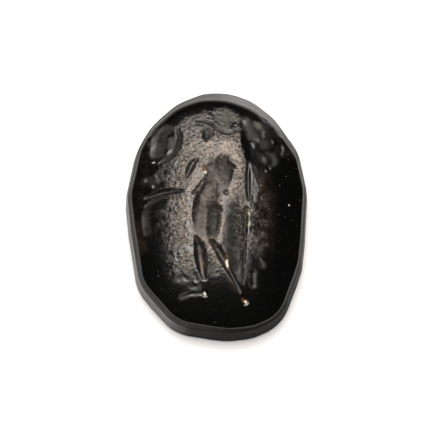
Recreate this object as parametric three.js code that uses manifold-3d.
// Carved ring stone (intaglio): one small oval of near black stone. Its side is ground in
// flats, its face is domed, and a standing figure, a staff, two rings and a few small marks
// are cut down into the face with little turning wheels and drills.
// Millimetres. +Z is up, the stone lies on its flat back, and +Y runs towards the figure's head.

import * as THREE from 'three';
import { mergeVertices } from 'three/addons/utils/BufferGeometryUtils.js';
import Module from 'manifold-3d';

const wasm = await Module();
wasm.setup();

// Stone: the outline of the flat back, and the heights above it
const stoneLength = 14.5;
const stoneWidth = 10.25;
const outlinePower = 2.4; // 2 is an ellipse, and more is squarer at the corners
const backChamfer = 0.12;
const sideHeight = 1.85; // up to the foot of the upper bevel
const sideTaper = 0.12; // how far the side leans in by there
const bevelHeight = 0.3;
const bevelWidth = 0.1;
const farBevelFacing = 75; // degrees from +X: the bevel widens towards the far end
const farBevelExtraHeight = 0.8;
const farBevelExtraWidth = 0.42;
const shoulderWidth = 0.3; // the rolled edge of the face
const shoulderRise = 0.2;
const domeRise = 1.2; // from the rolled edge to the crown

// Flats ground on the side: the way each one faces, in degrees from +X, and how far it is
// ground in from the oval
const groundFlats = [
  { facing: 12, inset: 0.06 },
  { facing: 356, inset: 0.12 },
  { facing: 340, inset: 0.1 },
  { facing: 294, inset: 0.05 },
  { facing: 277, inset: 0.2 },
  { facing: 262, inset: 0.36 },
  { facing: 247, inset: 0.22 },
  { facing: 221, inset: 0.32 },
  { facing: 188, inset: 0.2 },
  { facing: 168, inset: 0.08 },
  { facing: 152, inset: 0.2 },
  { facing: 133, inset: 0.38 },
  { facing: 112, inset: 0.3 },
  { facing: 91, inset: 0.1 },
  { facing: 71, inset: 0.2 },
  { facing: 51, inset: 0.36 },
  { facing: 34, inset: 0.34 },
];

// Design: the plain border that it leaves, and how deep each kind of cut goes
const endBorder = 1.65;
const sideBorder = 0.8;
const bodyDepth = 0.36;
const limbDepth = 0.3;
const armDepth = 0.2;
const drapeDepth = 0.14;
const lineDepth = 0.1;

// Design: how wide the cuts are
const faceWidth = 0.46;
const skullWidth = 0.56;
const hairRadius = 0.6;
const chestWidth = 1.28;
const flankWidth = 0.95;
const bellyWidth = 1.1;
const upperArmWidth = 0.4;
const forearmWidth = 0.3;
const handWidth = 0.6;
const offeringWidth = 0.3;
const thighWidth = 0.9;
const shinWidth = 0.54;
const slimShinWidth = 0.42;
const drapeWidth = 1.05;
const staffWidth = 0.36;
const altarWidth = 0.62;
const crescentWidth = 1.15;
const crescentRadius = 1.1;
const ringRadius = 0.42;
const brokenArcRadius = 0.36;
const lineWidth = 0.2;
const fineLineWidth = 0.14;
const drillRadius = 0.17;
const fineDrillRadius = 0.11;

// How finely the stone and the tools are faceted
const outlineSteps = 72;
const shoulderRings = 2;
const domeRings = 7;
const wheelSides = 12;
const drillSides = 6;

// How often the share of a place on the face is worked out again, each time more closely
const shareSteps = 12;

const halfLength = stoneLength / 2;
const halfWidth = stoneWidth / 2;
const faceHeight = sideHeight + bevelHeight;
const faceInset = sideTaper + bevelWidth;
const designHalfHeight = halfLength - endBorder;
const designHalfSpan = halfWidth - sideBorder;

const blackStone = new THREE.MeshStandardMaterial({
  name: 'black_stone',
  color: 0x17150f,
  roughness: 0.35,
  metalness: 0,
});

function toSolid(geometry) {
  const bare = geometry.clone();
  bare.deleteAttribute('normal');
  bare.deleteAttribute('uv');
  const merged = mergeVertices(bare, 1e-5);
  const mesh = new wasm.Mesh({
    numProp: 3,
    vertProperties: new Float32Array(merged.attributes.position.array),
    triVerts: new Uint32Array(merged.index.array),
  });
  return new wasm.Manifold(mesh);
}

function toGeometry(solid) {
  const mesh = solid.getMesh();
  const geometry = new THREE.BufferGeometry();
  geometry.setAttribute('position', new THREE.BufferAttribute(mesh.vertProperties, 3));
  geometry.setIndex(new THREE.BufferAttribute(mesh.triVerts, 1));
  geometry.computeVertexNormals();
  return geometry;
}

// How far the oval reaches from the middle, straight out at an angle
function ovalRadius(angle) {
  const across = Math.abs(Math.cos(angle) / halfWidth) ** outlinePower;
  const along = Math.abs(Math.sin(angle) / halfLength) ** outlinePower;
  return (across + along) ** (-1 / outlinePower);
}

// How far the oval reaches towards one side, measured square to a flat that faces it
function ovalReach(facing) {
  const power = outlinePower / (outlinePower - 1);
  const across = Math.abs(halfWidth * Math.cos(facing)) ** power;
  const along = Math.abs(halfLength * Math.sin(facing)) ** power;
  return (across + along) ** (1 / power);
}

// The oval with its flats ground in
function groundRadius(angle) {
  let radius = ovalRadius(angle);
  for (const flat of groundFlats) {
    const facing = THREE.MathUtils.degToRad(flat.facing);
    const towards = Math.cos(angle - facing);
    if (towards > 0) {
      radius = Math.min(radius, (ovalReach(facing) - flat.inset) / towards);
    }
  }
  return radius;
}

// How much of the far end's wider bevel a side has, from 0 to 1
function farShare(angle) {
  return Math.max(0, Math.cos(angle - THREE.MathUtils.degToRad(farBevelFacing))) ** 4;
}

function bevelFoot(angle) {
  return faceHeight - bevelHeight - farBevelExtraHeight * farShare(angle);
}

function bevelFootRadius(angle) {
  const climbed = (bevelFoot(angle) - backChamfer) / (sideHeight - backChamfer);
  return groundRadius(angle) - sideTaper * climbed;
}

// The outline that the face follows at a share of the way out: near the crown it is the plain
// oval, and at the rim it has the flats
function faceOutline(angle, share) {
  const flatness = share ** 4;
  const rim = groundRadius(angle) - faceInset - farBevelExtraWidth * farShare(angle);
  return flatness * rim + (1 - flatness) * (ovalRadius(angle) - faceInset);
}

// Where the rolled edge of the face begins, as a share of the face
const rollStart = 1 - shoulderWidth / (halfWidth - faceInset);

// Rise of the face above its edge, at a share of the way out from the crown
function riseAt(share) {
  const roll = Math.max(0, (share - rollStart) / (1 - rollStart));
  return domeRise * (1 - share ** 2) + shoulderRise * Math.sqrt(Math.max(0, 1 - roll ** 2));
}

// Height of the uncut face over a place on it
function faceAt(x, y) {
  const angle = Math.atan2(y, x);
  let share = 0;
  for (let i = 0; i < shareSteps; i++) {
    share = Math.min(1, Math.hypot(x, y) / faceOutline(angle, share));
  }
  return faceHeight + riseAt(share);
}

// Blank: rings of the outline from the back up to the crown

function makeBlank() {
  const rings = [
    { radius: (angle) => groundRadius(angle) - backChamfer, height: () => 0 },
    { radius: groundRadius, height: () => backChamfer },
    { radius: bevelFootRadius, height: bevelFoot },
  ];
  const shares = [];
  for (let i = 0; i < shoulderRings; i++) {
    const turn = (i / shoulderRings) * (Math.PI / 2);
    shares.push(rollStart + (1 - rollStart) * Math.cos(turn));
  }
  for (let i = 0; i < domeRings; i++) {
    shares.push(rollStart * (1 - i / domeRings));
  }
  for (const share of shares) {
    rings.push({
      radius: (angle) => share * faceOutline(angle, share),
      height: () => faceHeight + riseAt(share),
    });
  }

  const points = [];
  for (const ring of rings) {
    for (let i = 0; i < outlineSteps; i++) {
      const angle = (i / outlineSteps) * Math.PI * 2;
      const radius = ring.radius(angle);
      points.push(radius * Math.cos(angle), radius * Math.sin(angle), ring.height(angle));
    }
  }
  const back = rings.length * outlineSteps;
  const crown = back + 1;
  points.push(0, 0, 0);
  points.push(0, 0, faceHeight + riseAt(0));

  const faces = [];
  const top = (rings.length - 1) * outlineSteps;
  for (let i = 0; i < outlineSteps; i++) {
    const next = (i + 1) % outlineSteps;
    faces.push(back, next, i);
    faces.push(crown, top + i, top + next);
    for (let low = 0; low < top; low += outlineSteps) {
      const high = low + outlineSteps;
      faces.push(low + i, low + next, high + next);
      faces.push(low + i, high + next, high + i);
    }
  }
  const geometry = new THREE.BufferGeometry();
  geometry.setAttribute('position', new THREE.Float32BufferAttribute(points, 3));
  geometry.setIndex(faces);
  return toSolid(geometry);
}

// Tools. Each one stands on the face and cuts down along the face's own normal.

// A place of the design, from its shares of the half span and the half height
function place(across, along) {
  return new THREE.Vector2(across * designHalfSpan, along * designHalfHeight);
}

function standOnFace(tool, centre, angle) {
  const { x, y } = centre;
  const step = stoneLength / 300;
  const slopeX = (faceAt(x + step, y) - faceAt(x - step, y)) / (2 * step);
  const slopeY = (faceAt(x, y + step) - faceAt(x, y - step)) / (2 * step);
  const normal = new THREE.Vector3(-slopeX, -slopeY, 1).normalize();
  const turn = new THREE.Quaternion().setFromUnitVectors(new THREE.Vector3(0, 0, 1), normal);
  tool.rotateZ(angle);
  tool.applyQuaternion(turn);
  tool.translate(centre.x, centre.y, faceAt(centre.x, centre.y));
  return toSolid(tool);
}

// A boat-shaped cut between two places, as a wheel's edge leaves it
function stroke(from, to, width, depth, sides = wheelSides) {
  const start = place(...from);
  const end = place(...to);
  const along = end.clone().sub(start);
  const tool = new THREE.SphereGeometry(1, sides, sides / 2 + 1);
  tool.rotateX(Math.PI / 2);
  tool.scale(along.length() / 2, width / 2, depth);
  return standOnFace(tool, start.add(end).multiplyScalar(0.5), along.angle());
}

// A round pit from a ball drill
function pit(at, radius = drillRadius) {
  const tool = new THREE.SphereGeometry(radius, drillSides, drillSides / 2 + 1);
  tool.rotateX(Math.PI / 2);
  return standOnFace(tool, place(...at), 0);
}

// A line through several places, as a row of strokes that run into one another
function line(places, width = lineWidth, depth = lineDepth) {
  const overlap = 0.35;
  const cuts = [];
  for (let i = 0; i < places.length - 1; i++) {
    const [startX, startY] = places[i];
    const [endX, endY] = places[i + 1];
    const stepX = (endX - startX) * overlap;
    const stepY = (endY - startY) * overlap;
    const from = [startX - stepX, startY - stepY];
    const to = [endX + stepX, endY + stepY];
    cuts.push(stroke(from, to, width, depth, drillSides));
  }
  return cuts;
}

// Places on a part of a circle round a place of the design, its radius in millimetres
function arc(centre, radius, startDegrees, endDegrees, steps) {
  const places = [];
  for (let i = 0; i <= steps; i++) {
    const degrees = startDegrees + ((endDegrees - startDegrees) * i) / steps;
    const angle = THREE.MathUtils.degToRad(degrees);
    places.push([
      centre[0] + (radius * Math.cos(angle)) / designHalfSpan,
      centre[1] + (radius * Math.sin(angle)) / designHalfHeight,
    ]);
  }
  return places;
}

// Figure, standing with its weight on the leg at the left, its joints as shares of the design
const joints = {
  shoulderLeft: [-0.27, 0.5],
  elbowLeft: [-0.42, 0.18],
  handLeft: [-0.87, 0.11],
  hipLeft: [-0.27, 0.04],
  kneeLeft: [-0.25, -0.28],
  ankleLeft: [-0.165, -0.76],
  footLeft: [-0.165, -0.9],
  hipRight: [-0.05, 0.03],
  kneeRight: [-0.07, -0.39],
  ankleRight: [0.2, -0.79],
  footRight: [0.34, -0.96],
  handRight: [0.37, 0.02],
};

function cutHead() {
  return [
    stroke([-0.165, 0.87], [-0.155, 0.65], faceWidth, armDepth),
    stroke([-0.09, 0.85], [-0.095, 0.65], skullWidth, armDepth * 0.85),
    pit([-0.23, 0.685], fineDrillRadius),
  ];
}

function cutHair() {
  const waves = [[-0.26, 0.92], [-0.1, 0.9], [0.0, 0.83], [0.13, 0.78], [0.3, 0.81]];
  const crown = new THREE.SphereGeometry(1, wheelSides, wheelSides / 2 + 1);
  crown.rotateX(Math.PI / 2);
  crown.scale(hairRadius, hairRadius, lineDepth);
  return [...line(waves, fineLineWidth), standOnFace(crown, place(0.11, 0.945), 0)];
}

function cutTorso() {
  return [
    stroke([0.16, 0.56], [0.07, 0.22], chestWidth, bodyDepth),
    stroke([-0.06, 0.52], [-0.12, 0.2], flankWidth, bodyDepth * 0.85),
    stroke([-0.06, 0.32], [-0.26, 0.0], bellyWidth, bodyDepth * 0.9),
    pit([0.1, 0.14], fineDrillRadius),
  ];
}

function cutArms() {
  const [elbowX, elbowY] = joints.elbowLeft;
  return [
    stroke(joints.shoulderLeft, [-0.41, 0.29], upperArmWidth, armDepth),
    stroke([elbowX, elbowY], joints.handLeft, forearmWidth, armDepth),
    ...line([[elbowX, 0.125], [-0.65, 0.095], [-0.92, 0.02]], fineLineWidth),
    stroke([0.2, 0.15], joints.handRight, handWidth, drapeDepth),
    ...line([[0.27, 0.06], [0.29, -0.02], [0.42, -0.04]], fineLineWidth),
  ];
}

// What the left hand holds out, two short cuts
function cutOffering() {
  return [
    stroke([-0.9, 0.26], [-0.77, 0.29], offeringWidth, lineDepth, drillSides),
    stroke([-0.78, 0.31], [-0.71, 0.24], offeringWidth * 0.8, lineDepth, drillSides),
  ];
}

function cutLegs() {
  return [
    stroke(joints.hipLeft, joints.kneeLeft, thighWidth, limbDepth),
    stroke(joints.hipRight, joints.kneeRight, thighWidth * 0.85, limbDepth * 1.1),
    stroke([-0.28, -0.3], joints.ankleLeft, shinWidth, limbDepth),
    stroke([-0.1, -0.36], joints.ankleRight, slimShinWidth, limbDepth * 0.85),
    stroke([0.14, -0.7], joints.footRight, lineWidth, lineDepth, drillSides),
  ];
}

function cutFeet() {
  return [
    pit(joints.footLeft),
    stroke(joints.footLeft, [-0.44, -0.94], lineWidth, lineDepth, drillSides),
    pit(joints.footRight),
  ];
}

function cutDrapery() {
  return [stroke([0.19, -0.02], [0.21, -0.62], drapeWidth, drapeDepth)];
}

function cutStaff() {
  return [
    stroke([0.4, 0.42], [0.4, 0.08], staffWidth, armDepth),
    pit([0.42, 0.08], fineDrillRadius),
    stroke([0.37, -0.03], [0.335, -0.6], staffWidth, armDepth),
    stroke([0.335, -0.5], [0.32, -0.84], fineLineWidth, lineDepth * 0.6, drillSides),
  ];
}

// Upright block at the edge of the face, on the left
function cutAltar() {
  return [stroke([-0.9, -0.01], [-0.91, -0.34], altarWidth, drapeDepth)];
}

// Crescent at the upper left: an oval scoop inside a thin open arc
function cutCrescent() {
  return [
    stroke([-0.8, 0.5], [-0.62, 0.85], crescentWidth, drapeDepth * 1.6),
    ...line(arc([-0.72, 0.68], crescentRadius, 38, -92, 6)),
  ];
}

// Small ring at the upper right, with a dot in it
function cutRing() {
  const centre = [0.67, 0.5];
  const [dot] = arc(centre, ringRadius * 0.3, 235, 235, 1);
  return [...line(arc(centre, ringRadius, 0, 360, 7), fineLineWidth), pit(dot, fineDrillRadius)];
}

// Scattered marks of the upper right and of the ground under the figure
function cutMarks() {
  const stars = [[0.49, 0.88], [0.32, 0.9], [0.63, 0.87], [0.69, 0.84], [0.48, 0.71], [0.7, 0.7]];
  const marks = stars.map((star) => pit(star, fineDrillRadius * 1.3));
  marks.push(
    ...line(arc([0.74, 0.6], brokenArcRadius, 60, -10, 2), fineLineWidth, lineDepth * 0.7),
    stroke([0.45, -0.68], [0.45, -0.86], lineWidth * 1.4, lineDepth, drillSides),
    stroke([0.51, -0.53], [0.57, -0.62], fineLineWidth, lineDepth * 0.6, drillSides),
    stroke([-0.54, -0.7], [-0.43, -0.77], lineWidth, lineDepth * 0.8, drillSides),
    stroke([-0.3, -0.72], [-0.27, -0.79], lineWidth * 0.8, lineDepth * 0.8, drillSides),
    stroke([-0.35, -0.84], [-0.22, -0.85], fineLineWidth, lineDepth * 0.6, drillSides),
  );
  return marks;
}

function carve(stone) {
  const cuts = [
    ...cutHead(),
    ...cutHair(),
    ...cutTorso(),
    ...cutArms(),
    ...cutOffering(),
    ...cutLegs(),
    ...cutFeet(),
    ...cutDrapery(),
    ...cutStaff(),
    ...cutAltar(),
    ...cutCrescent(),
    ...cutRing(),
    ...cutMarks(),
  ];
  let design = cuts[0];
  for (const cut of cuts.slice(1)) {
    design = design.add(cut);
  }
  return stone.subtract(design);
}

const stone = new THREE.Mesh(toGeometry(carve(makeBlank())), blackStone);
stone.name = 'intaglio_stone';

// The flats leave the outline a little uneven, so its middle is set on the origin
const middle = new THREE.Box3().setFromObject(stone).getCenter(new THREE.Vector3());
stone.position.set(-middle.x, -middle.y, 0);

const group = new THREE.Group();
group.add(stone);

export default group;
